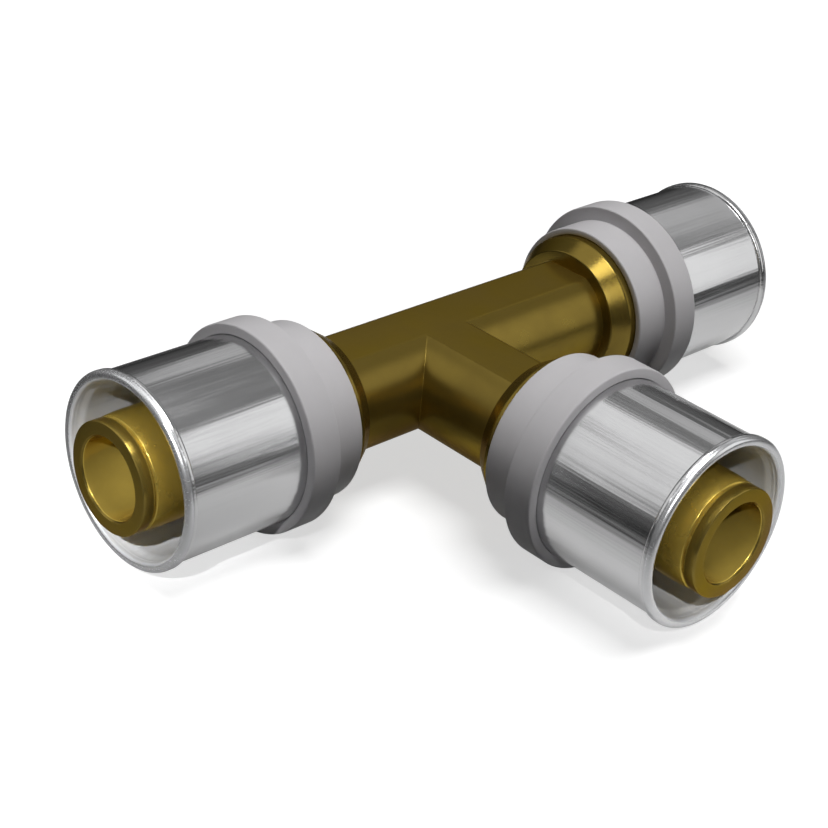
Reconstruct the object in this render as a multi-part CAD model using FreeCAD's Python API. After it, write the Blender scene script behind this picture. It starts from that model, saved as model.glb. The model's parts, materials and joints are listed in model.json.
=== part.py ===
"""Press-fit tee for multilayer pipe.

One brass body carries three nipples. On each nipple sit two rubber seals, a
stepped plastic ring that butts against the body's collar, and a steel press
sleeve that stands in the front of the ring. The pipe goes between nipple and
sleeve until it meets the ring.

The run lies along X and the branch points towards -Y. The origin is where
the two waterways cross, and the flats of the body face +Z and -Z.

Along each arm, outlines are drawn as (u, r): u runs outwards from the face of
the ring that looks at the body, and r is the radius from the arm's axis.
"""

import FreeCAD, Part

import math
import os

# Pipe that the fitting takes
PIPE_DIAMETER = 16.0
PIPE_WALL = 2.0
NIPPLE_PLAY = 0.3
SLEEVE_PLAY = 0.5

# Distance from the crossing to the body side of each ring
LEFT_REACH = 16.5
RIGHT_REACH = 23.6
BRANCH_REACH = 18.2

# Brass body
NIPPLE_WALL = 1.65
ARM_WALL = 1.95
FLAT_WIDTH = 5.4
EDGE_ROUNDING = 0.35
COLLAR_SHOWN = 2.6
COLLAR_CHAMFER = 1.75
COLLAR_BACK_WIDTH = 1.15
COLLAR_OVER_PIPE = 0.3
HUB_RISE = 0.7
HUB_LEAD = 0.6
SNAP_DEPTH = 0.35
SNAP_START = 0.9
SNAP_WIDTH = 1.2
INSERTION_DEPTH = 18.2
TIP_LENGTH = 1.25
TIP_DROP = 0.12
NOTCH_WIDTH = 0.3
NOTCH_DEPTH = 0.3
CROWN_LENGTH = 1.3
BORE_CHAMFER = 0.2

# Plastic ring
RING_BACK_LENGTH = 4.1
RING_BACK_WALL = 0.7
RECESS_DEPTH = 1.5
FLANGE_LENGTH = 3.3
FLANGE_WALL = 1.05
POCKET_DEPTH = 2.5
RING_ROUNDING = 0.2

# Steel sleeve
SLEEVE_LENGTH = 16.4
SLEEVE_WALL = 1.0
MOUTH_FLARE = 0.27
MOUTH_LENGTH = 1.4

# Rubber seals
SEAL_SECTION = 1.2
SEAL_PROUD = 0.15
SEAL_GROOVE_WIDTH = 1.5
SEAL_START = 4.4
SEAL_PITCH = 5.6

# Clearances between the pieces
RING_GAP = 0.05
SLEEVE_GAP = 0.05
SEAL_GAP = 0.02

# Radii and places that follow
pipe_radius = PIPE_DIAMETER / 2
nipple_radius = pipe_radius - PIPE_WALL - NIPPLE_PLAY
bore_radius = nipple_radius - NIPPLE_WALL
arm_radius = bore_radius + ARM_WALL
flat_height = math.sqrt(arm_radius ** 2 - (FLAT_WIDTH / 2) ** 2)
collar_radius = pipe_radius + COLLAR_OVER_PIPE
collar_back_radius = arm_radius + COLLAR_BACK_WIDTH
hub_radius = nipple_radius + HUB_RISE
snap_radius = hub_radius - SNAP_DEPTH
sleeve_inner = pipe_radius + SLEEVE_PLAY
sleeve_outer = sleeve_inner + SLEEVE_WALL
pocket_radius = sleeve_outer + SLEEVE_GAP
recess_radius = collar_radius + RING_GAP
ring_back_radius = recess_radius + RING_BACK_WALL
flange_radius = pocket_radius + FLANGE_WALL
ring_length = RING_BACK_LENGTH + FLANGE_LENGTH
pocket_floor = ring_length - POCKET_DEPTH
hub_end = pocket_floor + HUB_LEAD
snap_from = RECESS_DEPTH + SNAP_START
snap_to = snap_from + SNAP_WIDTH
nipple_end = pocket_floor + INSERTION_DEPTH
sleeve_end = pocket_floor + SLEEVE_LENGTH
seal_centre_radius = nipple_radius + SEAL_PROUD - SEAL_SECTION / 2
seal_floor_radius = seal_centre_radius - SEAL_SECTION / 2 - SEAL_GAP
seal_places = [pocket_floor + SEAL_START, pocket_floor + SEAL_START + SEAL_PITCH]

# Turn of each drill about its own axis
SEAM_TURN = 45

ORIGIN = FreeCAD.Vector(0, 0, 0)
X_AXIS = FreeCAD.Vector(1, 0, 0)
Z_AXIS = FreeCAD.Vector(0, 0, 1)

# Each arm: its reach, and the turn about Z that brings +X onto it
ARMS = {
    "left": (LEFT_REACH, 180),
    "right": (RIGHT_REACH, 0),
    "branch": (BRANCH_REACH, -90),
}


def vector(corner):
    """A corner (u, r) as a point of the XZ plane."""
    return FreeCAD.Vector(corner[0], 0, corner[1])


def corner_arc(before, corner, after, rounding):
    """Start, middle and end of the tangent arc that rounds a corner."""
    to_before = (before - corner).normalize()
    to_after = (after - corner).normalize()
    half_angle = to_before.getAngle(to_after) / 2
    setback = rounding / math.tan(half_angle)
    bisector = (to_before + to_after).normalize()
    centre = corner + bisector * (rounding / math.sin(half_angle))
    return (
        corner + to_before * setback,
        centre - bisector * rounding,
        corner + to_after * setback,
    )


def outline(corners):
    """Closed wire through the corners; (u, r, rounding) rounds that corner."""
    points = [vector(corner) for corner in corners]
    stops = []
    for index, corner in enumerate(corners):
        if len(corner) == 3:
            before = points[index - 1]
            after = points[(index + 1) % len(points)]
            stops.append(corner_arc(before, points[index], after, corner[2]))
        else:
            stops.append((points[index],))
    edges = []
    for index, stop in enumerate(stops):
        if len(stop) == 3:
            edges.append(Part.Arc(*stop).toShape())
        following = stops[(index + 1) % len(stops)][0]
        if stop[-1].distanceToPoint(following) > 1e-6:
            edges.append(Part.LineSegment(stop[-1], following).toShape())
    return Part.Wire(edges)


def lathe(corners):
    """Solid turned about the X axis from an outline."""
    return Part.Face(outline(corners)).revolve(ORIGIN, X_AXIS, 360)


def on_arm(shape, arm):
    """Copy of a shape, moved from its ring's own place out to an arm."""
    reach, turn = ARMS[arm]
    placed = shape.copy()
    placed.translate(X_AXIS * reach)
    placed.rotate(ORIGIN, Z_AXIS, turn)
    return placed


def seal_groove(centre):
    """Corners of one seal groove in the nipple, read from the body outwards."""
    return [
        (centre - SEAL_GROOVE_WIDTH / 2, nipple_radius),
        (centre - SEAL_GROOVE_WIDTH / 2, seal_floor_radius),
        (centre + SEAL_GROOVE_WIDTH / 2, seal_floor_radius),
        (centre + SEAL_GROOVE_WIDTH / 2, nipple_radius),
    ]


def arm_of_body(arm):
    """Solid arm, collar, hub and nipple, from the crossing outwards."""
    crossing = -ARMS[arm][0]
    tip_radius = nipple_radius - TIP_DROP
    notch_outer = nipple_end - TIP_LENGTH
    notch_inner = notch_outer - NOTCH_WIDTH
    corners = [
        (crossing, 0),
        (crossing, arm_radius),
        (-COLLAR_SHOWN, arm_radius),
        (-COLLAR_SHOWN, collar_back_radius),
        (COLLAR_CHAMFER - COLLAR_SHOWN, collar_radius),
        (RECESS_DEPTH, collar_radius),
        (RECESS_DEPTH, hub_radius),
        (snap_from, hub_radius),
        (snap_from, snap_radius),
        (snap_to, snap_radius),
        (snap_to, hub_radius),
        (hub_end - HUB_RISE, hub_radius),
        (hub_end, nipple_radius),
    ]
    for centre in seal_places:
        corners += seal_groove(centre)
    corners += [
        (notch_inner - CROWN_LENGTH, nipple_radius),
        (notch_inner, tip_radius),
        (notch_inner + NOTCH_WIDTH / 2, tip_radius - NOTCH_DEPTH),
        (notch_outer, tip_radius),
        (nipple_end, tip_radius, BORE_CHAMFER),
        (nipple_end, 0),
    ]
    return on_arm(lathe(corners), arm)


def flat_cutters():
    """Blocks above and below that leave the arms flat between the collars."""
    left = LEFT_REACH - COLLAR_SHOWN
    right = RIGHT_REACH - COLLAR_SHOWN
    front = BRANCH_REACH - COLLAR_SHOWN
    depth = arm_radius
    above = Part.makeBox(
        left + right, front + arm_radius, depth, FreeCAD.Vector(-left, -front, flat_height)
    )
    below = above.mirror(ORIGIN, Z_AXIS)
    return [above, below]


def waterway(arm):
    """Drill of one arm from the crossing outwards, with its mouth's chamfer."""
    crossing = -ARMS[arm][0]
    drill = lathe([
        (crossing, 0),
        (crossing, bore_radius),
        (nipple_end - BORE_CHAMFER, bore_radius),
        (nipple_end, bore_radius + BORE_CHAMFER),
        (nipple_end, 0),
    ])
    # The drill's seam is kept off the corners above and below the crossing.
    drill.rotate(ORIGIN, X_AXIS, SEAM_TURN)
    return on_arm(drill, arm)


def flat_and_mitre_edges(body):
    """Edges of the body's middle: both flats' rims and the inner mitres."""
    chosen = []
    for edge in body.Edges:
        middle = edge.valueAt((edge.FirstParameter + edge.LastParameter) / 2)
        on_flat = all(abs(abs(v.Z) - flat_height) < 1e-4 for v in edge.Vertexes)
        on_flat = on_flat and abs(abs(middle.z) - flat_height) < 1e-4
        straight = isinstance(edge.Curve, Part.Line)
        mitre = not straight and abs(abs(middle.x) + middle.y) < 1e-3
        mitre = mitre and abs(middle.distanceToPoint(ORIGIN)) > arm_radius
        inside = middle.x < RIGHT_REACH - COLLAR_SHOWN - 1e-3
        inside = inside and middle.x > COLLAR_SHOWN - LEFT_REACH + 1e-3
        inside = inside and middle.y > COLLAR_SHOWN - BRANCH_REACH + 1e-3
        if inside and ((on_flat and straight) or mitre):
            chosen.append(edge)
    return chosen


def tee_body():
    """The whole brass body."""
    left, right, branch = [arm_of_body(arm) for arm in ARMS]
    body = left.fuse([right, branch]).removeSplitter().cut(flat_cutters())
    body = body.makeFillet(EDGE_ROUNDING, flat_and_mitre_edges(body))
    return body.cut([waterway(arm) for arm in ARMS])


def ring():
    """Stepped plastic ring, at the place of its own outline."""
    inner = hub_radius + RING_GAP
    lip_inner = snap_radius + RING_GAP
    return lathe([
        (0, recess_radius),
        (0, ring_back_radius, RING_ROUNDING),
        (RING_BACK_LENGTH, ring_back_radius),
        (RING_BACK_LENGTH, flange_radius, RING_ROUNDING),
        (ring_length, flange_radius, RING_ROUNDING),
        (ring_length, pocket_radius),
        (pocket_floor, pocket_radius),
        (pocket_floor, inner),
        (snap_to - RING_GAP, inner),
        (snap_to - RING_GAP, lip_inner),
        (snap_from + RING_GAP, lip_inner),
        (snap_from + RING_GAP, inner),
        (RECESS_DEPTH, inner),
        (RECESS_DEPTH, recess_radius),
    ])


def sleeve():
    """Steel sleeve with a slightly belled mouth and a rolled lip."""
    flare_start = sleeve_end - MOUTH_LENGTH
    flare_end = sleeve_end - SLEEVE_WALL / 2
    lip = SLEEVE_WALL * 0.45
    return lathe([
        (pocket_floor, sleeve_inner),
        (pocket_floor, sleeve_outer),
        (flare_start, sleeve_outer),
        (flare_end, sleeve_outer + MOUTH_FLARE),
        (sleeve_end, sleeve_outer + MOUTH_FLARE, lip),
        (sleeve_end, sleeve_inner + MOUTH_FLARE, lip),
        (flare_end, sleeve_inner + MOUTH_FLARE),
        (flare_start, sleeve_inner),
    ])


def seal(place):
    """One rubber seal, lying in its groove."""
    centre = FreeCAD.Vector(place, 0, 0)
    return Part.makeTorus(seal_centre_radius, SEAL_SECTION / 2, centre, X_AXIS)


def write(name, shape):
    """Write one piece as a STEP file."""
    if not shape.isValid():
        raise ValueError(name + " isn't a valid solid")
    shape.exportStep("parts/" + name + ".step")


def main():
    os.makedirs("parts", exist_ok=True)
    write("tee_body", tee_body())
    for arm in ARMS:
        write("ring_" + arm, on_arm(ring(), arm))
        write("sleeve_" + arm, on_arm(sleeve(), arm))
        for name, place in zip(("inner", "outer"), seal_places):
            write("seal_" + arm + "_" + name, on_arm(seal(place), arm))


main()
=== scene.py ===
"""Dressed scene of a press-fit pipe tee: brass body, plastic rings, steel sleeves, rubber seals.

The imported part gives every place. Each arm is worked in its own frame, the lathe frame: +X runs
outwards along the arm, and x = 0 is the face of the ring that looks at the body. Sizes that the
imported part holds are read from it, and the rest are fields in millimetres.
"""

import json
import logging
import math
from collections.abc import Callable
from dataclasses import dataclass
from enum import Enum

import bpy
from bpy.types import Material, Node, NodeOutputs, NodeSocket, NodeTree, Object
from mathutils import Matrix, Vector


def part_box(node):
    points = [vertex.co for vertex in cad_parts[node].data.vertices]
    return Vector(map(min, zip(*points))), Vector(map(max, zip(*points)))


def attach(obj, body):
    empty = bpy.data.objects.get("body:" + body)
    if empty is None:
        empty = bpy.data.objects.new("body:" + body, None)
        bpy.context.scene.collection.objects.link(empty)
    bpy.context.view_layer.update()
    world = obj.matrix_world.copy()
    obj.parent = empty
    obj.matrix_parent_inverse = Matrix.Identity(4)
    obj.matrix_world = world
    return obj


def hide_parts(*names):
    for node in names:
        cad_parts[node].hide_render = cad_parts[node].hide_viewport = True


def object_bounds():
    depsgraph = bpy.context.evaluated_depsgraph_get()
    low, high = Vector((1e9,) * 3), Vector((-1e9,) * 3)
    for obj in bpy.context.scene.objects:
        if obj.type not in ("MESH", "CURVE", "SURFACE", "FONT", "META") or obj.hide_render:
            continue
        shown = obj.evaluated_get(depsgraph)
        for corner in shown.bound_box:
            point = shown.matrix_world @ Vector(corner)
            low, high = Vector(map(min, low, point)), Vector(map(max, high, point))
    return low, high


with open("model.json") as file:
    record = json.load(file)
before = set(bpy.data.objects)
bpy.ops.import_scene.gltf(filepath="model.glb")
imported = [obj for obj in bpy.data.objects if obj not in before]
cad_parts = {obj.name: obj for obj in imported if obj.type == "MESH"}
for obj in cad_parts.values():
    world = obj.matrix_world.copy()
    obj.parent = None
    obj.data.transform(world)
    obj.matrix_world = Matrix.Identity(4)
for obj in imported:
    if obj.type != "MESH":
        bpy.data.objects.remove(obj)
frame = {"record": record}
CAD_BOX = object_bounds()

LOG = logging.getLogger("pipe_tee")
MM = 0.001
SAME_POINT = 1e-3 * MM
LATHE_STEPS = 128
SMOOTH_ANGLE = math.radians(28)
PLACE = "arm_place"

Corner = tuple[float, ...]
Colour = tuple[float, float, float, float]
Span = tuple[float, float]


class Arm(Enum):
    """The three arms of the tee, with the turn about Z that brings +X onto each."""

    LEFT = 180
    RIGHT = 0
    BRANCH = -90

    @property
    def label(self) -> str:
        """Lower-case name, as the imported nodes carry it."""
        return self.name.lower()

    @property
    def outward(self) -> Vector:
        """Unit vector from the crossing out along the arm."""
        return Matrix.Rotation(math.radians(self.value), 3, "Z") @ Vector((1, 0, 0))


def reach_of(node: str, arm: Arm) -> tuple[float, float]:
    """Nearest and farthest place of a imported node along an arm.

    Args:
        node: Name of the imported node.
        arm: The arm along which it is measured.

    Returns:
        The two distances from the crossing, in millimetres.
    """
    low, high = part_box(node)
    stops = sorted((low.dot(arm.outward) / MM, high.dot(arm.outward) / MM))
    return stops[0], stops[1]


def mount_radius(name: str) -> float:
    """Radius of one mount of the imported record, in millimetres."""
    mounts = {mount["name"]: mount for mount in frame["record"]["mounts"]}
    return mounts[name]["dims"]["r_mm"]


@dataclass(frozen=True)
class Fitting:
    """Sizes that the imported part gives, in millimetres, read on the right arm."""

    ring_length: float
    pocket_floor: float
    sleeve_end: float
    nipple_end: float
    flange_radius: float
    mouth_radius: float
    collar_radius: float
    nipple_radius: float
    bore_radius: float
    seal_radius: float
    seal_section: float

    @classmethod
    def from_frame(cls) -> "Fitting":
        """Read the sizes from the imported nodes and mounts."""
        start, ring_end = reach_of("ring_right", Arm.RIGHT)
        sleeve_from, sleeve_to = reach_of("sleeve_right", Arm.RIGHT)
        seal_from, seal_to = reach_of("seal_right_inner", Arm.RIGHT)
        return cls(
            ring_length=ring_end - start,
            pocket_floor=sleeve_from - start,
            sleeve_end=sleeve_to - start,
            nipple_end=reach_of("tee_body", Arm.RIGHT)[1] - start,
            flange_radius=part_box("ring_right")[1].z / MM,
            mouth_radius=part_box("sleeve_right")[1].z / MM,
            collar_radius=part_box("tee_body")[1].z / MM,
            nipple_radius=mount_radius("nipple_right"),
            bore_radius=mount_radius("run_bore"),
            seal_radius=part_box("seal_right_inner")[1].z / MM,
            seal_section=seal_to - seal_from,
        )

    def reach(self, arm: Arm) -> float:
        """Distance from the crossing to the ring's near face on an arm."""
        return reach_of("ring_" + arm.label, arm)[0]


def select_only(piece: Object) -> None:
    """Deselect everything, then select one object and make it active."""
    bpy.ops.object.select_all(action="DESELECT")
    piece.select_set(True)
    bpy.context.view_layer.objects.active = piece


def apply_modifier(piece: Object, kind: str, **settings: object) -> None:
    """Add a modifier to a piece and apply it.

    Args:
        piece: The object to change.
        kind: Modifier type, as Blender names it.
        settings: Values set on the modifier before it is applied.
    """
    select_only(piece)
    modifier = piece.modifiers.new(kind.title(), kind)
    for name, value in settings.items():
        setattr(modifier, name, value)
    bpy.ops.object.modifier_apply(modifier=modifier.name)


def on_whole_mesh(operator: Callable[..., set[str]], **settings: object) -> None:
    """Select the whole mesh in edit mode and run an operator on it."""
    bpy.ops.mesh.select_all(action="SELECT")
    operator(**settings)


def pick(piece: Object, wanted: Callable[[Vector], bool]) -> None:
    """Select the vertices whose places are wanted, in edit mode."""
    bpy.ops.mesh.select_mode(type="VERT")
    bpy.ops.mesh.select_all(action="DESELECT")
    bpy.ops.object.mode_set(mode="OBJECT")
    for vertex in piece.data.vertices:
        vertex.select = wanted(vertex.co)
    bpy.ops.object.mode_set(mode="EDIT")


def lies_on(points: list[Vector]) -> Callable[[Vector], bool]:
    """Test that is passed by places that lie on one of the points."""
    return lambda place: any((place - point).length < 10 * SAME_POINT for point in points)


def cut_off(place: Vector, normal: Vector) -> None:
    """Cut away what lies past a plane, in edit mode."""
    on_whole_mesh(bpy.ops.mesh.bisect, plane_co=place, plane_no=normal, clear_outer=True)


def cut_or_join(piece: Object, tool: Object, operation: str) -> None:
    """Apply an exact boolean to a piece, clear doubled points and throw the tool away.

    Args:
        piece: The object that is kept.
        tool: The object that is joined to it or cut from it.
        operation: UNION or DIFFERENCE.
    """
    apply_modifier(piece, "BOOLEAN", object=tool, operation=operation, solver="EXACT")
    bpy.data.objects.remove(tool, do_unlink=True)
    bpy.ops.object.mode_set(mode="EDIT")
    on_whole_mesh(bpy.ops.mesh.remove_doubles, threshold=SAME_POINT)
    on_whole_mesh(bpy.ops.mesh.dissolve_degenerate, threshold=SAME_POINT)
    bpy.ops.object.mode_set(mode="OBJECT")


def to_arm(piece: Object, arm: Arm, reach: float) -> None:
    """Move a piece from its lathe frame out to an arm, with its place in its mesh."""
    turn = Matrix.Rotation(math.radians(arm.value), 4, "Z")
    piece.matrix_world = turn @ Matrix.Translation((reach * MM, 0, 0))
    select_only(piece)
    bpy.ops.object.transform_apply(location=True, rotation=True, scale=True)


def note_places(piece: Object, to_lathe: Callable[[Vector], Vector]) -> None:
    """Keep the place of each point in its lathe frame, for patterns that follow the arm.

    Args:
        piece: The object whose points are noted.
        to_lathe: Turns a point's place in millimetres into its place in the lathe frame.
    """
    mesh = piece.data
    attribute = mesh.attributes.new(PLACE, "FLOAT_VECTOR", "POINT")
    for vertex, slot in zip(mesh.vertices, attribute.data):
        slot.vector = to_lathe(vertex.co / MM)


def smooth(piece: Object) -> None:
    """Shade a piece smooth, with its sharp edges kept and its broad faces left true."""
    select_only(piece)
    bpy.ops.object.shade_smooth_by_angle(angle=SMOOTH_ANGLE)
    apply_modifier(piece, "WEIGHTED_NORMAL", keep_sharp=True, weight=80)


def seat(piece: Object, arm: Arm, reach: float) -> Object:
    """Note a turned piece's places, shade it and move it out to its arm.

    Args:
        piece: The object, still in its lathe frame.
        arm: The arm that carries it.
        reach: Distance of the piece's zero from the crossing, in millimetres.

    Returns:
        The same object, in place.
    """
    note_places(piece, Vector)
    smooth(piece)
    to_arm(piece, arm, reach)
    return piece


@dataclass
class Outline:
    """Half section of a turned piece: corners (u, r) or (u, r, rounding) in millimetres."""

    corners: list[Corner]
    closed: bool = True
    easing: float = 0.05
    segments: int = 3

    def draw(self, name: str) -> Object:
        """Draw the outline in the XZ plane, corner by corner, and round its corners.

        Args:
            name: Name of the new object.

        Returns:
            The object, in object mode.
        """
        points = [Vector((corner[0], 0, corner[1])) * MM for corner in self.corners]
        bpy.ops.object.select_all(action="DESELECT")
        bpy.ops.mesh.primitive_plane_add(size=MM, location=(0, 0, 0))
        piece = bpy.context.active_object
        piece.name = piece.data.name = name
        bpy.ops.object.mode_set(mode="EDIT")
        bpy.ops.mesh.select_mode(type="VERT")
        on_whole_mesh(bpy.ops.mesh.merge, type="CENTER")
        bpy.ops.transform.translate(value=points[0])
        for before, after in zip(points, points[1:]):
            bpy.ops.mesh.extrude_region_move(TRANSFORM_OT_translate={"value": after - before})
        if self.closed:
            pick(piece, lies_on([points[0], points[-1]]))
            bpy.ops.mesh.edge_face_add()
        for rounding in sorted({self.rounding_of(corner) for corner in self.corners}):
            if rounding > 0:
                chosen = [
                    point
                    for point, corner in zip(points, self.corners)
                    if self.rounding_of(corner) == rounding and (self.closed or corner[1] > 0)
                ]
                pick(piece, lies_on(chosen))
                bpy.ops.mesh.bevel(
                    offset=rounding * MM, segments=self.segments, affect="VERTICES", clamp_overlap=True
                )
        bpy.ops.object.mode_set(mode="OBJECT")
        return piece

    def rounding_of(self, corner: Corner) -> float:
        """Rounding of one corner: its own, or the outline's easing."""
        return corner[2] if len(corner) == 3 else self.easing

    def turn(self, name: str) -> Object:
        """Turn the outline about the X axis into a closed shell.

        Args:
            name: Name of the new object.

        Returns:
            The turned object, in its lathe frame.
        """
        piece = self.draw(name)
        bpy.ops.object.mode_set(mode="EDIT")
        whole_turn = {"steps": LATHE_STEPS, "angle": math.tau}
        on_whole_mesh(bpy.ops.mesh.spin, center=(0, 0, 0), axis=(1, 0, 0), **whole_turn)
        on_whole_mesh(bpy.ops.mesh.remove_doubles, threshold=SAME_POINT / 10)
        bpy.ops.mesh.dissolve_degenerate(threshold=SAME_POINT / 100)
        on_whole_mesh(bpy.ops.mesh.normals_make_consistent, inside=False)
        bpy.ops.object.mode_set(mode="OBJECT")
        return piece


def hand_over(piece: Object, node: str, finish: Material) -> None:
    """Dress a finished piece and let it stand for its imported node.

    Args:
        piece: The finished object.
        node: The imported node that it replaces.
        finish: The piece's material.
    """
    piece.data.materials.clear()
    piece.data.materials.append(finish)
    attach(piece, "root")
    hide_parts(node)
    LOG.info("%s: %d faces", piece.name, len(piece.data.polygons))


@dataclass(frozen=True)
class Snap:
    """Hub on each nipple with a groove, in which a lip of the ring lies."""

    hub_rise: float = 0.7
    depth: float = 0.35
    start: float = 0.9
    width: float = 1.2

    def corners(self, foot: float, radius: float, play: float = 0) -> list[Corner]:
        """Corners of the groove past a hub's foot, or of the lip with some play."""
        near = foot + self.start + play
        far = foot + self.start + self.width - play
        floor = radius - self.depth
        return [(near, radius), (near, floor), (far, floor), (far, radius)]


@dataclass
class TeeBody:
    """Brass body: crossing with flats, three collars, and three grooved nipples."""

    fitting: Fitting
    snap: Snap
    arm_wall: float = 1.95
    flat_width: float = 5.4
    rim_rounding: float = 0.083
    mitre_rounding: float = 0.03
    collar_shown: float = 2.6
    collar_chamfer: float = 1.75
    collar_back_width: float = 1.15
    collar_depth: float = 1.5
    hub_lead: float = 0.6
    seal_groove_width: float = 1.5
    seal_play: float = 0.02
    tip_length: float = 1.25
    tip_drop: float = 0.12
    notch_width: float = 0.3
    notch_depth: float = 0.3
    crown_length: float = 1.3
    bore_chamfer: float = 0.2
    collar_rounding: float = 0.12
    crown_rounding: float = 0.5
    notch_rounding: float = 0.04
    notch_floor_rounding: float = 0.03
    tip_rounding: float = 0.16
    drill_play: float = 0.01
    drill_excess: float = 1.0
    sink: float = 0.4

    @property
    def arm_radius(self) -> float:
        """Outer radius of an arm between the crossing and its collar."""
        return self.fitting.bore_radius + self.arm_wall

    @property
    def flat_height(self) -> float:
        """Height of the flats above the plane of the arms."""
        return math.sqrt(self.arm_radius**2 - (self.flat_width / 2) ** 2)

    def arm_sleeve(self, arm: Arm) -> Object:
        """Open wall of one arm from the crossing's mitres into its collar.

        Args:
            arm: The arm to build.

        Returns:
            The wall, in place, with its inner end cut to the mitres.
        """
        bpy.ops.object.select_all(action="DESELECT")
        radius = self.arm_radius * MM
        bpy.ops.mesh.primitive_circle_add(
            vertices=LATHE_STEPS, radius=radius, fill_type="NGON", rotation=(0, math.pi / 2, 0)
        )
        wall = bpy.context.active_object
        wall.name = "arm_wall_" + arm.label
        bpy.ops.object.transform_apply(location=True, rotation=True, scale=True)
        height = self.flat_height * MM
        bpy.ops.object.mode_set(mode="EDIT")
        for side in (1, -1):
            cut_off(Vector((0, 0, side * height)), Vector((0, 0, side)))
        on_whole_mesh(bpy.ops.mesh.delete, type="ONLY_FACE")
        pick(wall, lambda place: abs(abs(place.z) - height) < SAME_POINT)
        bpy.ops.mesh.bevel(offset=self.rim_rounding * MM, segments=4, affect="VERTICES")
        length = self.fitting.reach(arm) - self.collar_shown + self.sink
        on_whole_mesh(bpy.ops.transform.translate, value=(-2 * radius, 0, 0))
        bpy.ops.mesh.extrude_region_move(
            TRANSFORM_OT_translate={"value": (2 * radius + length * MM, 0, 0)}
        )
        bpy.ops.object.mode_set(mode="OBJECT")
        to_arm(wall, arm, 0)
        bpy.ops.object.mode_set(mode="EDIT")
        for normal in self.mitre_normals(arm):
            cut_off(Vector(), normal)
        bpy.ops.object.mode_set(mode="OBJECT")
        return wall

    @staticmethod
    def mitre_normals(arm: Arm) -> list[Vector]:
        """Outward normals of the planes that end an arm's wall at the crossing."""
        if arm is Arm.BRANCH:
            return [Vector((1, 1, 0)), Vector((-1, 1, 0))]
        side = -arm.outward.x
        return [Vector((side, 0, 0)), Vector((side, -1, 0))]

    def crossing(self) -> Object:
        """Closed middle of the body, with eased mitres between run and branch."""
        walls = [self.arm_sleeve(arm) for arm in Arm]
        select_only(walls[0])
        for wall in walls:
            wall.select_set(True)
        bpy.ops.object.join()
        middle = bpy.context.active_object
        middle.name = middle.data.name = "dressed_tee_body"
        bpy.ops.object.mode_set(mode="EDIT")
        on_whole_mesh(bpy.ops.mesh.remove_doubles, threshold=SAME_POINT)
        on_whole_mesh(bpy.ops.mesh.fill_holes, sides=0)
        on_whole_mesh(bpy.ops.mesh.normals_make_consistent, inside=False)
        bpy.ops.mesh.select_mode(type="EDGE")
        bpy.ops.mesh.select_all(action="DESELECT")
        bpy.ops.object.mode_set(mode="OBJECT")
        places = middle.data.vertices
        for edge in middle.data.edges:
            ends = [places[index].co for index in edge.vertices]
            on_mitre = all(abs(abs(end.x) + end.y) < SAME_POINT and end.y < 0 for end in ends)
            below_flat = all(abs(end.z) < self.flat_height * MM * 0.999 for end in ends)
            edge.select = on_mitre and below_flat
        bpy.ops.object.mode_set(mode="EDIT")
        bpy.ops.mesh.bevel(
            offset=self.mitre_rounding * MM, segments=4, affect="EDGES", clamp_overlap=True
        )
        bpy.ops.object.mode_set(mode="OBJECT")
        return middle

    def nipple_outline(self) -> Outline:
        """Half section of one collar, hub and nipple, from the collar outwards."""
        fit = self.fitting
        hub_radius = fit.nipple_radius + self.snap.hub_rise
        hub_end = fit.pocket_floor + self.hub_lead
        corners: list[Corner] = [
            (-self.collar_shown, 0, 0),
            (-self.collar_shown, self.arm_radius + self.collar_back_width, self.collar_rounding),
            (self.collar_chamfer - self.collar_shown, fit.collar_radius, self.collar_rounding),
            (self.collar_depth, fit.collar_radius),
            (self.collar_depth, hub_radius),
            *self.snap.corners(self.collar_depth, hub_radius),
            (hub_end - self.snap.hub_rise, hub_radius),
            (hub_end, fit.nipple_radius),
        ]
        floor = fit.seal_radius - fit.seal_section - self.seal_play
        for node in ("seal_right_inner", "seal_right_outer"):
            near, far = reach_of(node, Arm.RIGHT)
            centre = (near + far) / 2 - fit.reach(Arm.RIGHT)
            sides = (centre - self.seal_groove_width / 2, centre + self.seal_groove_width / 2)
            corners += [
                (sides[0], fit.nipple_radius),
                (sides[0], floor),
                (sides[1], floor),
                (sides[1], fit.nipple_radius),
            ]
        tip_radius = fit.nipple_radius - self.tip_drop
        notch_outer = fit.nipple_end - self.tip_length
        notch_inner = notch_outer - self.notch_width
        notch_middle = notch_inner + self.notch_width / 2
        corners += [
            (notch_inner - self.crown_length, fit.nipple_radius, self.crown_rounding),
            (notch_inner, tip_radius, self.notch_rounding),
            (notch_middle, tip_radius - self.notch_depth, self.notch_floor_rounding),
            (notch_outer, tip_radius, self.notch_rounding),
            (fit.nipple_end, tip_radius, self.tip_rounding),
            (fit.nipple_end, 0, 0),
        ]
        return Outline(corners, closed=False)

    def mouth_corners(self, radius: float, end: float) -> list[Corner]:
        """Corners of a drill's outer end, with the mouth's chamfer.

        Args:
            radius: Radius of the drill.
            end: Distance of the mouth from the drill's zero.

        Returns:
            The corners, from the bore's wall out past the mouth.
        """
        mouth, past = radius + self.bore_chamfer, end + self.drill_excess
        return [
            (end - self.bore_chamfer, radius),
            (end, mouth, 0),
            (past, mouth + self.drill_excess, 0),
            (past, 0, 0),
        ]

    def run_drill(self) -> Object:
        """Waterway of the run from mouth to mouth, as a cutter."""
        fit = self.fitting
        left, right = (
            self.mouth_corners(fit.bore_radius, fit.reach(arm) + fit.nipple_end)
            for arm in (Arm.LEFT, Arm.RIGHT)
        )
        mirrored = [(-corner[0], *corner[1:]) for corner in reversed(left)]
        return Outline(mirrored + right, closed=False).turn("run_drill")

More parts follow.
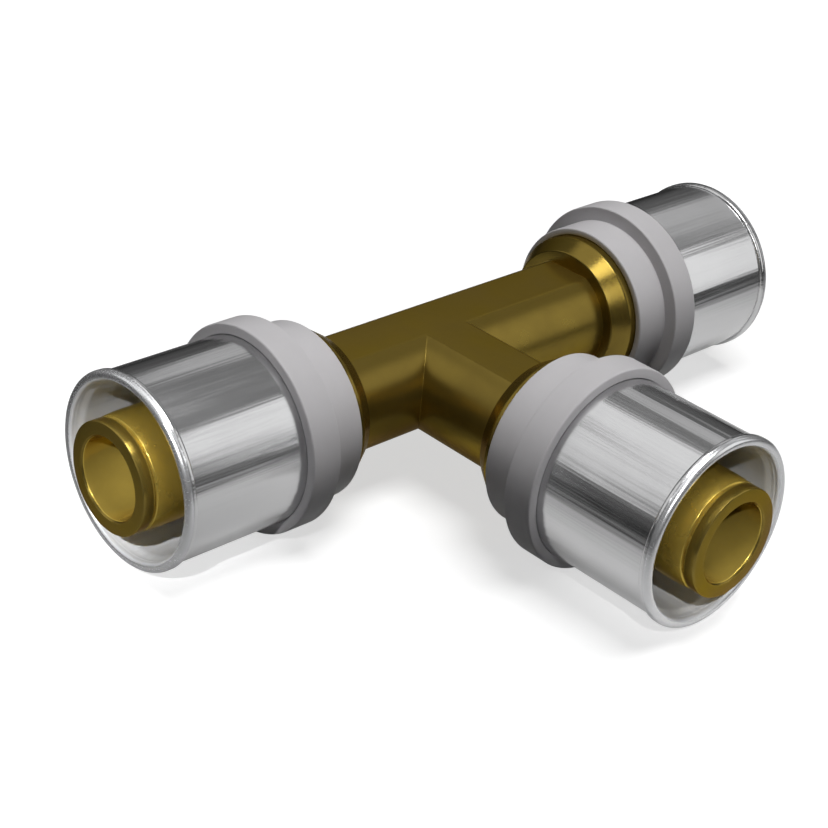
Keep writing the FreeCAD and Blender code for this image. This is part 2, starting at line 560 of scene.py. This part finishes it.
    def branch_drill(self) -> Object:
        """Waterway of the branch out of the run, as a cutter just inside the run's own bore."""
        fit = self.fitting
        radius = fit.bore_radius - self.drill_play
        corners = [(0, 0, 0), (0, radius, 0)]
        corners += self.mouth_corners(radius, fit.reach(Arm.BRANCH) + fit.nipple_end)
        cutter = Outline(corners, closed=False).turn("branch_drill")
        to_arm(cutter, Arm.BRANCH, 0)
        return cutter

    def build(self) -> Object:
        """Join the crossing and the three nipples, and drill the waterways."""
        body = self.crossing()
        for arm in Arm:
            nipple = self.nipple_outline().turn("nipple_" + arm.label)
            to_arm(nipple, arm, self.fitting.reach(arm))
            cut_or_join(body, nipple, "UNION")
        cut_or_join(body, self.run_drill(), "DIFFERENCE")
        cut_or_join(body, self.branch_drill(), "DIFFERENCE")
        frames = {
            arm: Matrix.Translation((-self.fitting.reach(arm), 0, 0))
            @ Matrix.Rotation(math.radians(-arm.value), 4, "Z")
            for arm in Arm
        }
        note_places(body, lambda place: frames[self.arm_of(place)] @ place)
        smooth(body)
        return body

    @staticmethod
    def arm_of(place: Vector) -> Arm:
        """Arm on whose side of the mitres a place lies."""
        if -place.y > abs(place.x) + SAME_POINT / MM:
            return Arm.BRANCH
        return Arm.RIGHT if place.x > 0 else Arm.LEFT


@dataclass
class TurnedPiece:
    """Piece that is turned from one outline and sits on every arm."""

    fitting: Fitting

    def outline(self) -> Outline:
        """Half section of the piece, in its lathe frame."""
        raise NotImplementedError

    def build(self, arm: Arm, node: str) -> Object:
        """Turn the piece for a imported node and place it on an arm."""
        return seat(self.outline().turn("dressed_" + node), arm, self.fitting.reach(arm))


@dataclass
class IsolatingRing(TurnedPiece):
    """Stepped plastic ring that butts against the collar and holds the sleeve's foot."""

    snap: Snap
    back_length: float = 4.1
    back_wall: float = 0.7
    flange_wall: float = 1.05
    recess_depth: float = 1.5
    play: float = 0.05
    rounding: float = 0.2
    mouth_rounding: float = 0.12
    foot_rounding: float = 0.1
    step_rounding: float = 0.03

    def outline(self) -> Outline:
        """Half section of the ring, in its lathe frame."""
        fit = self.fitting
        recess_radius = fit.collar_radius + self.play
        back_radius = recess_radius + self.back_wall
        pocket_radius = fit.flange_radius - self.flange_wall
        inner = fit.nipple_radius + self.snap.hub_rise + self.play
        return Outline([
            (0, recess_radius, self.foot_rounding),
            (0, back_radius, self.rounding),
            (self.back_length, back_radius, self.step_rounding),
            (self.back_length, fit.flange_radius, self.rounding),
            (fit.ring_length, fit.flange_radius, self.rounding),
            (fit.ring_length, pocket_radius, self.mouth_rounding),
            (fit.pocket_floor, pocket_radius),
            (fit.pocket_floor, inner),
            *reversed(self.snap.corners(self.recess_depth, inner, self.play)),
            (self.recess_depth, inner),
            (self.recess_depth, recess_radius),
        ])


@dataclass
class PressSleeve(TurnedPiece):
    """Steel sleeve with a slightly belled mouth and a rolled lip.

    The lip and the bead's crest are rounded by a share of the wall and of the flare.
    """

    wall: float = 1.0
    flare: float = 0.27
    mouth_length: float = 1.6
    bead_length: float = 1.15
    bead_rise: float = 0.04
    bell_slope: float = 0.3
    lip_share: float = 0.47
    crest_share: float = 0.9
    bell_rounding: float = 0.25
    throat_rounding: float = 0.2

    def outline(self) -> Outline:
        """Half section of the sleeve, in its lathe frame."""
        fit = self.fitting
        outer = fit.mouth_radius - self.flare
        inner = outer - self.wall
        flare_start = fit.sleeve_end - self.mouth_length
        bead_start = fit.sleeve_end - self.bead_length
        lip = self.wall * self.lip_share
        return Outline(
            [
                (fit.pocket_floor, inner),
                (fit.pocket_floor, outer),
                (bead_start, outer, 0),
                (bead_start + self.bead_rise, fit.mouth_radius, self.flare * self.crest_share),
                (fit.sleeve_end, fit.mouth_radius, lip),
                (fit.sleeve_end, inner + self.flare, lip),
                (bead_start + self.bell_slope, inner + self.flare, self.bell_rounding),
                (flare_start, inner, self.throat_rounding),
            ],
            segments=6,
        )


@dataclass
class SealRing:
    """Round rubber seal, lying in a groove of a nipple."""

    fitting: Fitting
    steps: int = 96
    round_steps: int = 24

    def build(self, arm: Arm, node: str) -> Object:
        """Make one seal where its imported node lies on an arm."""
        near, far = reach_of(node, arm)
        half = self.fitting.seal_section / 2
        bpy.ops.object.select_all(action="DESELECT")
        bpy.ops.mesh.primitive_torus_add(
            major_radius=(self.fitting.seal_radius - half) * MM,
            minor_radius=half * MM,
            major_segments=self.steps,
            minor_segments=self.round_steps,
            rotation=(0, math.pi / 2, 0),
        )
        piece = bpy.context.active_object
        piece.name = piece.data.name = "dressed_" + node
        bpy.ops.object.transform_apply(location=True, rotation=True, scale=True)
        return seat(piece, arm, (near + far) / 2)


class Nodes:
    """Short way to lay out the nodes of one material, world or node group."""

    def __init__(self, tree: NodeTree) -> None:
        """Start from an empty tree."""
        self.tree = tree
        tree.nodes.clear()

    def add(self, kind: str, inputs: dict[object, object] | None = None, **settings: object) -> Node:
        """Add one node.

        Args:
            kind: Node type without its ShaderNode prefix, or a full type name.
            inputs: Values or sockets for the node's inputs, by name or index.
            settings: Properties set on the node.

        Returns:
            The new node.
        """
        full = kind if kind.startswith("Node") else "ShaderNode" + kind
        node = self.tree.nodes.new(full)
        for name, value in settings.items():
            setattr(node, name, value)
        for key, value in (inputs or {}).items():
            self.feed(node.inputs[key], value)
        return node

    def feed(self, socket: NodeSocket, value: object) -> None:
        """Link an input to another node's socket, or set it to a value."""
        if isinstance(value, NodeSocket):
            self.tree.links.new(value, socket)
        else:
            socket.default_value = value

    def math(self, operation: str, first: object, second: object = 0.5) -> NodeSocket:
        """Output of a Math node on two values or sockets."""
        return self.add("Math", {0: first, 1: second}, operation=operation).outputs[0]

    def plus(self, first: object, second: object) -> NodeSocket:
        """Sum of two values or sockets."""
        return self.math("ADD", first, second)

    def times(self, first: object, second: object) -> NodeSocket:
        """Product of two values or sockets."""
        return self.math("MULTIPLY", first, second)

    def blend(self, factor: object, first: object, second: object, kind: str = "RGBA") -> NodeSocket:
        """Mix of two colours, or of two numbers with kind FLOAT, by a factor."""
        node = self.add("Mix", data_type=kind)
        for name, value in (("Factor", factor), ("A", first), ("B", second)):
            self.feed(next(s for s in node.inputs if s.name == name and s.enabled), value)
        return next(s for s in node.outputs if s.enabled)

    def spread(self, value: object, given: Span, wanted: Span = (0, 1)) -> NodeSocket:
        """Map a value from the given range to the wanted one, held at the ends."""
        names = ("From Min", "From Max", "To Min", "To Max")
        inputs = {"Value": value, **dict(zip(names, (*given, *wanted)))}
        return self.add("MapRange", inputs, clamp=True).outputs[0]

    def noise(self, place: object, scale: object, detail: float, rough: float = 0.5) -> NodeSocket:
        """Value of a noise at a place."""
        inputs = {"Vector": place, "Scale": scale, "Detail": detail, "Roughness": rough}
        return self.add("TexNoise", inputs).outputs["Fac"]


class GroupNodes(Nodes):
    """Nodes of a new node group, with the sockets that it is given and those it returns."""

    def __init__(self, name: str, inputs: dict[str, float], outputs: tuple[str, ...]) -> None:
        """Start the group.

        Args:
            name: Name of the group.
            inputs: Default values of the inputs that come after the first one, Place.
            outputs: Names of the outputs, which are all numbers.
        """
        tree = bpy.data.node_groups.new(name, "ShaderNodeTree")
        tree.interface.new_socket("Place", in_out="INPUT", socket_type="NodeSocketVector")
        for label, value in inputs.items():
            socket = tree.interface.new_socket(label, in_out="INPUT", socket_type="NodeSocketFloat")
            socket.default_value = value
        for label in outputs:
            tree.interface.new_socket(label, in_out="OUTPUT", socket_type="NodeSocketFloat")
        super().__init__(tree)
        self.given = self.add("NodeGroupInput").outputs
        self.returned = self.add("NodeGroupOutput").inputs


class SharedEffects:
    """Node groups that more than one finish uses."""

    def __init__(self) -> None:
        """Build every group once."""
        self.tool_marks = self.make_tool_marks()
        self.fine_grain = self.make_fine_grain()
        self.edge_wear = self.make_edge_wear()

    @staticmethod
    def make_tool_marks() -> NodeTree:
        """Fine rings left by a lathe tool, from the place along and across the axis."""
        inputs = {"Pitch": 8.0, "Waviness": 0.15}
        nodes = GroupNodes("tool_marks", inputs, ("Height", "Mask", "Radius"))
        place = nodes.given["Place"]
        parts = nodes.add("SeparateXYZ", {0: place}).outputs
        squares = [nodes.math("POWER", parts[axis], 2.0) for axis in ("Y", "Z")]
        radius = nodes.math("SQRT", nodes.plus(*squares))
        drift = nodes.times(nodes.noise(place, 0.35, 2.0), nodes.given["Waviness"])
        along = nodes.plus(nodes.plus(parts["X"], radius), drift)
        line = nodes.times(along, nodes.given["Pitch"])
        inputs = {"W": line, "Scale": 1.0, "Detail": 3.0, "Roughness": 0.6}
        rings = nodes.add("TexNoise", inputs, noise_dimensions="1D").outputs["Fac"]
        nodes.feed(nodes.returned["Height"], rings)
        nodes.feed(nodes.returned["Mask"], nodes.spread(rings, (0.35, 0.65)))
        nodes.feed(nodes.returned["Radius"], radius)
        return nodes.tree

    @staticmethod
    def make_fine_grain() -> NodeTree:
        """Two sizes of noise: broad patches for colour, fine grain for relief."""
        inputs = {"Patch Scale": 120.0, "Grain Scale": 4000.0}
        nodes = GroupNodes("fine_grain", inputs, ("Patches", "Grain"))
        place = nodes.given["Place"]
        patches = nodes.noise(place, nodes.given["Patch Scale"], 5.0, 0.55)
        nodes.feed(nodes.returned["Patches"], nodes.spread(patches, (0.3, 0.7)))
        nodes.feed(nodes.returned["Grain"], nodes.noise(place, nodes.given["Grain Scale"], 3.0))
        return nodes.tree

    @staticmethod
    def make_edge_wear() -> NodeTree:
        """Mask along edges: where the rounded normal leaves the true one, broken up by noise."""
        nodes = GroupNodes("edge_wear", {"Reach": 0.00025, "Breakup": 900.0}, ("Mask",))
        eased = nodes.add("Bevel", {"Radius": nodes.given["Reach"]}, samples=6).outputs[0]
        true = nodes.add("NewGeometry").outputs["Normal"]
        match = nodes.add("VectorMath", {0: eased, 1: true}, operation="DOT_PRODUCT")
        bend = nodes.spread(match.outputs["Value"], (0.995, 0.86))
        noise = nodes.noise(nodes.given["Place"], nodes.given["Breakup"], 4.0)
        broken = nodes.spread(noise, (0.35, 0.6), (0.35, 1))
        nodes.feed(nodes.returned["Mask"], nodes.times(bend, broken))
        return nodes.tree


class FinishNodes(Nodes):
    """Nodes of a new material: its Principled shader, its grain and the piece's places."""

    def __init__(self, name: str, effects: SharedEffects, patches: float, grain: float) -> None:
        """Start the material.

        Args:
            name: Name of the material.
            effects: The shared node groups.
            patches: Scale of the broad patches.
            grain: Scale of the fine grain.
        """
        self.material = bpy.data.materials.new(name)
        self.material.use_nodes = True
        super().__init__(self.material.node_tree)
        self.shader = self.add("BsdfPrincipled")
        self.add("OutputMaterial", {"Surface": self.shader.outputs[0]})
        self.place = self.add("TexCoord").outputs["Object"]
        self.on_arm = self.add("Attribute", attribute_name=PLACE).outputs["Vector"]
        scales = {"Patch Scale": patches, "Grain Scale": grain}
        found = self.effect(effects.fine_grain, self.place, scales)
        self.patches, self.grain = found["Patches"], found["Grain"]

    def effect(
        self, group: NodeTree, place: object, values: dict[str, float] | None = None
    ) -> NodeOutputs:
        """Outputs of a shared group at a place."""
        return self.add("Group", {"Place": place, **(values or {})}, node_tree=group).outputs

    def along(self) -> NodeSocket:
        """Distance outwards along the arm, in millimetres."""
        return self.add("SeparateXYZ", {0: self.on_arm}).outputs["X"]

    def bump(
        self, height: object, strength: float, distance: float, normal: object = None
    ) -> NodeSocket:
        """Normal bent by a height, on top of an earlier normal where one is given."""
        node = self.add("Bump", {"Height": height, "Strength": strength, "Distance": distance})
        if normal is not None:
            self.feed(node.inputs["Normal"], normal)
        return node.outputs[0]

    def dress(self, inputs: dict[str, object]) -> Material:
        """Feed the shader's inputs, and give back the material."""
        for name, value in inputs.items():
            self.feed(self.shader.inputs[name], value)
        return self.material


@dataclass(frozen=True)
class BrassFinish:
    """Dark, lightly tarnished brass: turned on collars and nipples, smooth forging between.

    Lengths are in millimetres, along or across the arm. Painted light: the nipples up to their
    tips and the bores are painted in lighter brass, where the sleeves shade them. In the branch's
    bore this painted light fades with depth, as painted shade; along the run's bore the mesh is
    too coarse to tell the depth.
    """

    colour: Colour = (0.218, 0.156, 0.032, 1)
    tarnish: Colour = (0.172, 0.121, 0.026, 1)
    worn: Colour = (0.36, 0.27, 0.080, 1)
    # Painted light: lighter brass for the nipples and bores inside the sleeves, where shade falls.
    painted_light: Colour = (0.50, 0.365, 0.072, 1)
    rim_tint: Colour = (0.55, 0.40, 0.12, 1)
    painted_light_share: float = 0.85
    painted_light_from: float = 5.2
    painted_light_to: float = 22.0
    bore_reach: float = 4.1
    bore_fade: float = 7.0
    bore_shade_span: Span = (0.15, 1.0)
    turned_from: float = -2.61
    metal: Span = (0.72, 0.86)
    painted_light_matt: float = 0.06
    bore_matt: float = 0.16
    rough: Span = (0.33, 0.27)
    turned_gloss: float = 0.06
    ring_gloss: float = 0.10
    ring_relief: float = 1.6
    tool_pitch: float = 22.0

    def material(self, effects: SharedEffects) -> Material:
        """Build the finish."""
        nodes = FinishNodes("dark_brass", effects, patches=160.0, grain=5200.0)
        marks = nodes.effect(effects.tool_marks, nodes.on_arm, {"Pitch": self.tool_pitch})
        wear = nodes.effect(effects.edge_wear, nodes.place)["Mask"]
        along = nodes.along()
        turned = nodes.math("GREATER_THAN", along, self.turned_from)
        bore = nodes.math("LESS_THAN", marks["Radius"], self.bore_reach)
        # Painted shade: the bore's painted light fades towards its deep end.
        depth = nodes.spread(along, (self.painted_light_to - self.bore_fade, self.painted_light_to), self.bore_shade_span)
        sides = nodes.math("SUBTRACT", nodes.math("LESS_THAN", along, self.painted_light_to), bore)
        painted_light = nodes.math("MAXIMUM", sides, nodes.times(bore, depth))
        painted_light = nodes.times(nodes.math("GREATER_THAN", along, self.painted_light_from), painted_light)
        base = nodes.blend(nodes.patches, self.tarnish, self.colour)
        base = nodes.blend(nodes.times(wear, turned), base, self.worn)
        # Painted light laid over the brass colour on the nipples and in the bores.
        base = nodes.blend(nodes.times(painted_light, self.painted_light_share), base, self.painted_light)
        matt = nodes.plus(nodes.times(painted_light, self.painted_light_matt), nodes.times(bore, self.bore_matt))
        metal = nodes.math("SUBTRACT", nodes.spread(nodes.patches, (0, 1), self.metal), matt)
        rough = nodes.spread(nodes.patches, (0, 1), self.rough)
        rough = nodes.math("SUBTRACT", rough, nodes.times(turned, self.turned_gloss))
        rings = nodes.times(nodes.times(marks["Mask"], turned), self.ring_gloss)
        relief = nodes.times(nodes.times(marks["Height"], turned), self.ring_relief)
        relief = nodes.plus(relief, nodes.times(nodes.grain, 0.8))
        return nodes.dress({
            "Specular Tint": self.rim_tint,
            "Base Color": base,
            "Metallic": metal,
            "Roughness": nodes.math("SUBTRACT", rough, rings),
            "Normal": nodes.bump(relief, 0.12, 0.00004),
        })


@dataclass(frozen=True)
class SteelFinish:
    """Polished steel with faint drawn lines along the sleeve and rings at its lip.

    The sleeve's inner wall and its lip are less of a mirror than its outside, and whiter: the
    whiter colour is partly a less polished finish and partly painted light on the shaded inner
    wall and a painted highlight on the lip. The radius amid the wall and the lip's start are in
    millimetres.
    """

    colour: Colour = (0.62, 0.62, 0.625, 1)
    shadow: Colour = (0.58, 0.58, 0.585, 1)
    # Whiter inner colour: partly a less polished finish, partly painted light on the shaded inner wall
    # and a painted highlight on the lip.
    inner: Colour = (0.86, 0.88, 0.92, 1)
    mid_wall: float = 9.0
    lip_start: float = 20.6
    lip_fade: float = 0.15
    inner_matt_and_light: float = 0.65
    lip_matt_and_highlight: float = 0.18
    lip_relief: float = 0.12
    rough: Span = (0.19, 0.14)
    drawn_rough: float = 0.06
    inner_rough: float = 0.30
    tool_pitch: float = 14.0

    def material(self, effects: SharedEffects) -> Material:
        """Build the finish."""
        nodes = FinishNodes("polished_steel", effects, patches=90.0, grain=9000.0)
        stretched = nodes.add("Mapping", {"Vector": nodes.on_arm, "Scale": (0.02, 1.0, 1.0)}).outputs[0]
        drawn = nodes.noise(stretched, 7.0, 4.0, 0.6)
        rolled = nodes.noise(stretched, 0.55, 3.0, 0.55)
        marks = nodes.effect(effects.tool_marks, nodes.on_arm, {"Pitch": self.tool_pitch})
        along = nodes.along()
        edge = (self.lip_start, self.lip_start + self.lip_fade)
        wall = (self.mid_wall + 0.1, self.mid_wall - 0.1)
        # Share of the whiter, less polished finish: painted light on the inner wall and a painted
        # highlight on the lip.
        matt = nodes.math(
            "MAXIMUM",
            nodes.spread(marks["Radius"], wall, (0, self.inner_matt_and_light)),
            nodes.spread(along, edge, (0, self.lip_matt_and_highlight)),
        )
        base = nodes.blend(nodes.patches, self.shadow, self.colour)
        rough = nodes.spread(nodes.patches, (0, 1), self.rough)
        rough = nodes.plus(rough, nodes.spread(drawn, (0.35, 0.65), (0, self.drawn_rough)))
        plain = nodes.spread(along, edge, (1.0, self.lip_relief))
        relief = nodes.plus(nodes.times(drawn, plain), nodes.times(marks["Height"], 0.4))
        relief = nodes.plus(relief, nodes.times(nodes.grain, 0.15))
        lines = nodes.bump(relief, 0.05, 0.00005)
        return nodes.dress({
            "Base Color": nodes.blend(matt, base, self.inner),
            "Metallic": nodes.spread(matt, (0, 1), (1.0, 0.0)),
            "Roughness": nodes.plus(rough, nodes.times(matt, self.inner_rough)),
            "Normal": nodes.bump(nodes.times(rolled, plain), 0.8, 0.00014, lines),
        })


@dataclass(frozen=True)
class PlasticFinish:
    """Light grey moulded plastic with a faint violet cast and a fine satin grain."""

    colour: Colour = (0.62, 0.605, 0.618, 1)
    patch: Colour = (0.57, 0.557, 0.568, 1)
    worn: Colour = (0.68, 0.67, 0.69, 1)
    wear_share: float = 0.6
    rough: Span = (0.42, 0.34)

    def material(self, effects: SharedEffects) -> Material:
        """Build the finish."""
        nodes = FinishNodes("grey_plastic", effects, patches=130.0, grain=6500.0)
        wear = nodes.effect(effects.edge_wear, nodes.place)["Mask"]
        base = nodes.blend(nodes.patches, self.patch, self.colour)
        return nodes.dress({
            "IOR": 1.49,
            "Specular IOR Level": 0.2,
            "Base Color": nodes.blend(nodes.times(wear, self.wear_share), base, self.worn),
            "Roughness": nodes.spread(nodes.patches, (0, 1), self.rough),
            "Normal": nodes.bump(nodes.grain, 0.10, 0.00004),
        })


@dataclass(frozen=True)
class RubberFinish:
    """Black sealing rubber with a dusty bloom."""

    colour: Colour = (0.014, 0.014, 0.015, 1)
    bloom: Colour = (0.030, 0.030, 0.031, 1)
    rough: Span = (0.42, 0.62)

    def material(self, effects: SharedEffects) -> Material:
        """Build the finish."""
        nodes = FinishNodes("black_rubber", effects, patches=300.0, grain=5000.0)
        return nodes.dress({
            "Base Color": nodes.blend(nodes.patches, self.colour, self.bloom),
            "Roughness": nodes.spread(nodes.patches, (0, 1), self.rough),
            "Normal": nodes.bump(nodes.grain, 0.2, 0.00003),
        })


def direction(azimuth: float, elevation: float) -> Vector:
    """Unit vector towards an azimuth, clockwise from +Y, and an elevation, in degrees."""
    turn, rise = math.radians(azimuth), math.radians(elevation)
    return Vector((math.sin(turn) * math.cos(rise), math.cos(turn) * math.cos(rise), math.sin(rise)))


def add_lamp(kind: str, name: str, place: Vector, target: Vector, energy: float) -> Object:
    """Place a lamp that the camera doesn't see, turned to a target."""
    bpy.ops.object.light_add(type=kind, location=place)
    lamp = bpy.context.active_object
    lamp.name = name
    lamp.rotation_euler = (target - place).to_track_quat("-Z", "Y").to_euler()
    lamp.data.energy = energy
    lamp.visible_camera = False
    return lamp


@dataclass(frozen=True)
class Softbox:
    """Soft lamp that faces the object.

    Directions are in degrees and lengths in metres. The brightness is what a mirror shows of the
    lamp, with 1 as white. A card only shows in polished surfaces, like a studio's reflector.
    """

    name: str
    azimuth: float
    elevation: float
    width: float
    height: float
    brightness: float
    card: bool = False
    distance: float = 0.7

    def build(self) -> None:
        """Place the lamp and turn it to the origin."""
        place = direction(self.azimuth, self.elevation) * self.distance
        energy = self.brightness * math.pi * self.width * self.height
        lamp = add_lamp("AREA", self.name, place, Vector(), energy)
        lamp.data.shape = "RECTANGLE"
        lamp.data.size = self.width
        lamp.data.size_y = self.height
        lamp.visible_diffuse = not self.card


@dataclass(frozen=True)
class MouthSpot:
    """Narrow spot that shines into the open end of one arm, as wide as its sleeve."""

    arm: Arm
    azimuth: float
    elevation: float
    power: float
    cone: float = 1.7
    edge: float = 0.3
    bulb: float = 0.008
    distance: float = 0.7

    def build(self) -> None:
        """Place the spot and turn it to the middle of the arm's mouth."""
        target = self.arm.outward * reach_of("sleeve_" + self.arm.label, self.arm)[1] * MM
        place = target + direction(self.azimuth, self.elevation) * self.distance
        lamp = add_lamp("SPOT", "mouth_spot_" + self.arm.label, place, target, self.power)
        lamp.data.spot_size = math.radians(self.cone)
        lamp.data.spot_blend = self.edge
        lamp.data.shadow_soft_size = self.bulb


@dataclass(frozen=True)
class Studio:
    """Plain pale floor and plain soft light round the part, in metres.

    The floor is darker for diffuse rays. Mirrored rays see a painted pool of light round the part,
    whose paint and glow fall to dark past it. The room's light runs from the horizon to overhead.
    Its share is the part of the white background that polished and clear surfaces show there.
    """

    floor_size: float = 0.9
    floor_paint: float = 0.50
    floor_bounce: float = 0.02
    floor_glow: float = 0.62
    # Painted pool of light, seen only in mirrors: floor paint and glow round the part, falling to
    # pool_rest past it.
    mirror_paint: float = 0.62
    mirror_glow: float = 0.24
    pool_centre: tuple[float, float, float] = (0.020, -0.020, 0.0)
    pool_from: float = 0.036
    pool_to: float = 0.092
    pool_rest: float = 0.03
    room_heights: Span = (0.05, 0.9)
    room_light: Span = (0.07, 0.224)
    room_share: Span = (0.0294, 0.1008)
    room_for_diffuse: float = 0.25
    room_for_mirrored: float = 0.6
    lamps: tuple[Softbox, ...] = (
        Softbox("key_softbox", 182, 77, 0.36, 0.26, 14.0),
        Softbox("right_panel", 133, 22, 0.40, 0.56, 1.0, card=True),
        Softbox("left_panel", -42, 34, 0.44, 0.43, 0.78, card=True),
        Softbox("top_panel", -20, 76, 0.66, 0.56, 0.85, card=True),
        Softbox("back_panel", 68, 36, 0.80, 0.22, 0.44, card=True),
        Softbox("front_card", -142, 36, 0.40, 0.30, 3.6, card=True),
    )
    spots: tuple[MouthSpot, ...] = (
        MouthSpot(Arm.LEFT, -124, 40, 36.0),
        MouthSpot(Arm.BRANCH, -134, 42, 17.0),
    )

    def build(self) -> None:
        """Make the floor, the lamps and the room's own light."""
        low = CAD_BOX[0].z
        bpy.ops.object.select_all(action="DESELECT")
        bpy.ops.mesh.primitive_plane_add(size=self.floor_size, location=(0, 0, low))
        floor = bpy.context.active_object
        floor.name = floor.data.name = "studio_floor"
        bpy.ops.object.transform_apply(location=True, rotation=True, scale=True)
        floor.data.materials.append(self.floor_material())
        for lamp in self.lamps:
            lamp.build()
        for spot in self.spots:
            spot.build()
        self.light_room()

    @staticmethod
    def mirrored_rays(nodes: Nodes, path: NodeOutputs) -> NodeSocket:
        """1 for rays that come off polished surfaces or through clear ones, else 0."""
        return nodes.math("MAXIMUM", path["Is Glossy Ray"], path["Is Transmission Ray"])

    def floor_material(self) -> Material:
        """Matt floor, white for the camera; mirrors see a painted pool of light near the part."""
        material = bpy.data.materials.new("studio_floor")
        material.use_nodes = True
        nodes = Nodes(material.node_tree)
        path = nodes.add("LightPath").outputs
        mirrored = self.mirrored_rays(nodes, path)
        bounce, paint = ((value, value, value, 1) for value in (self.floor_bounce, self.floor_paint))
        ends = {0: nodes.add("TexCoord").outputs["Object"], 1: self.pool_centre}
        away = nodes.add("VectorMath", ends, operation="DISTANCE").outputs["Value"]
        # Painted pool of light for mirrored rays, centred near the part.
        painted_pool = nodes.spread(away, (self.pool_from, self.pool_to), (1.0, self.pool_rest))
        colour = nodes.blend(mirrored, paint, nodes.times(painted_pool, self.mirror_paint))
        colour = nodes.blend(path["Is Diffuse Ray"], colour, bounce)
        matt = nodes.add("BsdfDiffuse", {"Color": colour})
        glow = nodes.times(nodes.times(mirrored, painted_pool), self.mirror_glow)
        backdrop = nodes.spread(away, (self.pool_from, 2 * self.pool_to), (self.floor_glow, 1.0))
        glow = nodes.plus(glow, nodes.times(path["Is Camera Ray"], backdrop))
        light = nodes.add("Emission", {"Strength": glow})
        both = nodes.add("AddShader", {0: matt.outputs[0], 1: light.outputs[0]})
        nodes.add("OutputMaterial", {"Surface": both.outputs[0]})
        return material

    def light_room(self) -> None:
        """Dim plain room, brighter overhead; the camera sees it as white."""
        world = bpy.data.worlds.new("studio_room")
        bpy.context.scene.world = world
        world.use_nodes = True
        nodes = Nodes(world.node_tree)
        way = nodes.add("TexCoord").outputs["Generated"]
        height = nodes.add("SeparateXYZ", {0: way}).outputs["Z"]
        path = nodes.add("LightPath").outputs
        mirrored = self.mirrored_rays(nodes, path)
        level = nodes.spread(height, self.room_heights, self.room_light)
        for rays, dimmed in (
            (path["Is Diffuse Ray"], self.room_for_diffuse),
            (mirrored, self.room_for_mirrored),
        ):
            level = nodes.times(level, nodes.spread(rays, (0, 1), (1.0, dimmed)))
        share = nodes.spread(height, self.room_heights, self.room_share)
        seen = nodes.math("MAXIMUM", nodes.times(mirrored, share), path["Is Camera Ray"])
        strength = nodes.blend(seen, level, 1.0, kind="FLOAT")
        back = nodes.add("Background", {"Color": (1, 1, 1, 1), "Strength": strength})
        nodes.add("OutputWorld", {"Surface": back.outputs[0]})


@dataclass(frozen=True)
class PhotoCamera:
    """Camera at the photograph's viewing angle; lengths in millimetres, angles in degrees."""

    azimuth: float = 45.674
    elevation: float = 29.303
    roll: float = 5.605
    distance: float = 203.25
    aside: float = -0.51
    raised: float = -5.225
    lens: float = 85.35

    def build(self) -> None:
        """Make the camera and give it to the scene."""
        ahead = direction(self.azimuth, -self.elevation)
        level_right = direction(self.azimuth + 90, 0)
        level_up = level_right.cross(ahead)
        place = (level_right * self.aside + level_up * self.raised - ahead * self.distance) * MM
        turn = math.radians(self.roll)
        right = level_right * math.cos(turn) + level_up * math.sin(turn)
        up = level_up * math.cos(turn) - level_right * math.sin(turn)
        bpy.ops.object.camera_add(location=place)
        camera = bpy.context.active_object
        camera.name = "photo_camera"
        facing = Matrix((right, up, -ahead)).transposed().to_4x4()
        camera.matrix_world = Matrix.Translation(place) @ facing
        camera.data.lens = self.lens
        camera.data.clip_start = 0.01
        bpy.context.scene.camera = camera


def main() -> None:
    """Build every piece, dress it, and set up the studio."""
    logging.basicConfig(level=logging.INFO, format="%(name)s %(message)s")
    PhotoCamera().build()
    fitting = Fitting.from_frame()
    effects = SharedEffects()
    brass = BrassFinish().material(effects)
    plastic = PlasticFinish().material(effects)
    steel = SteelFinish().material(effects)
    rubber = RubberFinish().material(effects)
    snap = Snap()
    hand_over(TeeBody(fitting, snap).build(), "tee_body", brass)
    ring, sleeve, seal = IsolatingRing(fitting, snap), PressSleeve(fitting), SealRing(fitting)
    for arm in Arm:
        for kind, node, slot, finish in (
            (ring, "ring_" + arm.label, "grey_plastic", plastic),
            (sleeve, "sleeve_" + arm.label, "polished_steel", steel),
            (seal, "seal_" + arm.label + "_inner", "black_rubber", rubber),
            (seal, "seal_" + arm.label + "_outer", "black_rubber", rubber),
        ):
            hand_over(kind.build(arm, node), node, finish)
    Studio().build()
    bpy.context.scene.view_settings.view_transform = "Standard"


if __name__ == "__main__":
    main()
